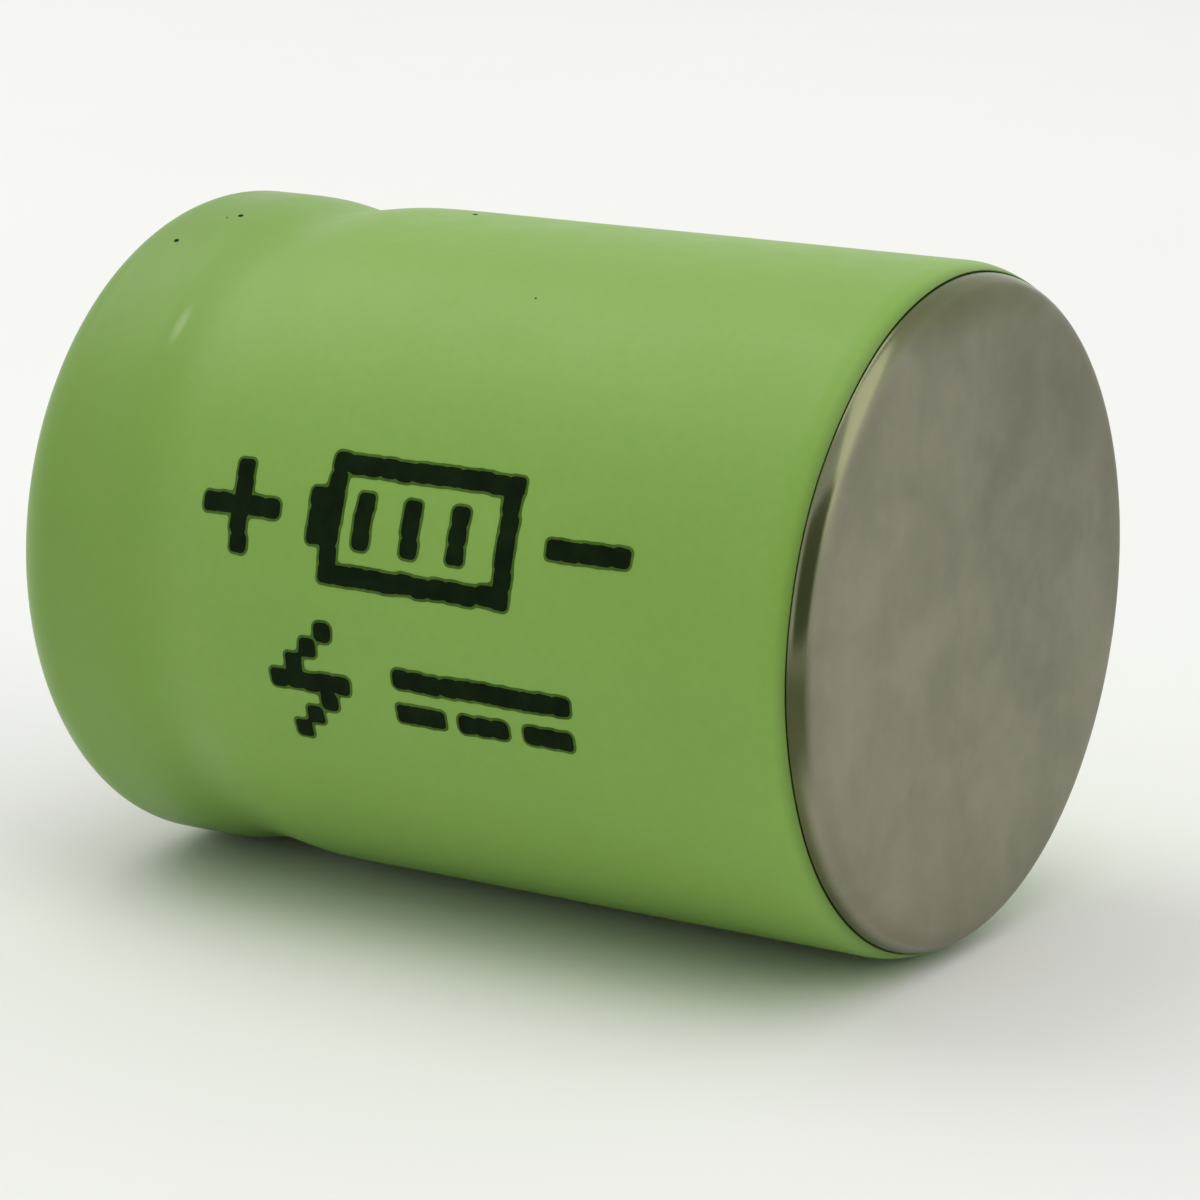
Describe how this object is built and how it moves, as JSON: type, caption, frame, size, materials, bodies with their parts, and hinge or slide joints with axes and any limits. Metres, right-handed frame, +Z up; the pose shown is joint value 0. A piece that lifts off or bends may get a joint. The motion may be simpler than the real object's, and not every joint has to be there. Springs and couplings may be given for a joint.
{
  "type": "cylindrical battery cell",
  "caption": "Short sealed nickel-metal hydride cell: crimped steel can with a wound electrode roll and vented cap, in a heat-shrunk sleeve, with a flat bare negative end.",
  "frame": {"origin": "on the line where the cell rests on a flat surface, midway along its length", "axes": "the cell lies on its side: +X along the axis towards the flat negative face, -X towards the positive cap, +Z up; the printed side faces -Y"},
  "size_m": [0.0152, 0.0104, 0.0104],
  "materials": {
    "pvc_sleeve": "satin",
    "fibre_washer": "matte",
    "nickel_plated_steel": "satin",
    "nylon": "matte",
    "vent_rubber": "matte",
    "nickel_strip": "satin",
    "tape": "satin",
    "insulator": "matte",
    "positive_mass": "matte",
    "negative_mass": "matte",
    "separator": "matte"
  },
  "bodies": {
    "cell": {"sleeve": "pvc_sleeve", "insulating_washer": "fibre_washer", "can": "nickel_plated_steel", "sealing_gasket": "nylon", "sealing_plate": "nickel_plated_steel", "positive_cap": "nickel_plated_steel", "positive_tab": "nickel_strip", "tab_tape": "tape", "upper_insulator": "insulator", "lower_insulator": "insulator", "positive_electrode": "positive_mass", "negative_electrode": "negative_mass", "inner_separator": "separator", "outer_separator": "separator"},
    "vent_valve": {"vent_plug": "vent_rubber"}
  },
  "joints": [
    {"name": "vent_lift", "type": "slide", "parent": "cell", "child": "vent_valve", "axis": [-1, 0, 0], "range_m": [0, 0.0002], "stiffness_N_per_m": 200, "deforming": ["vent_plug"]}
  ]
}
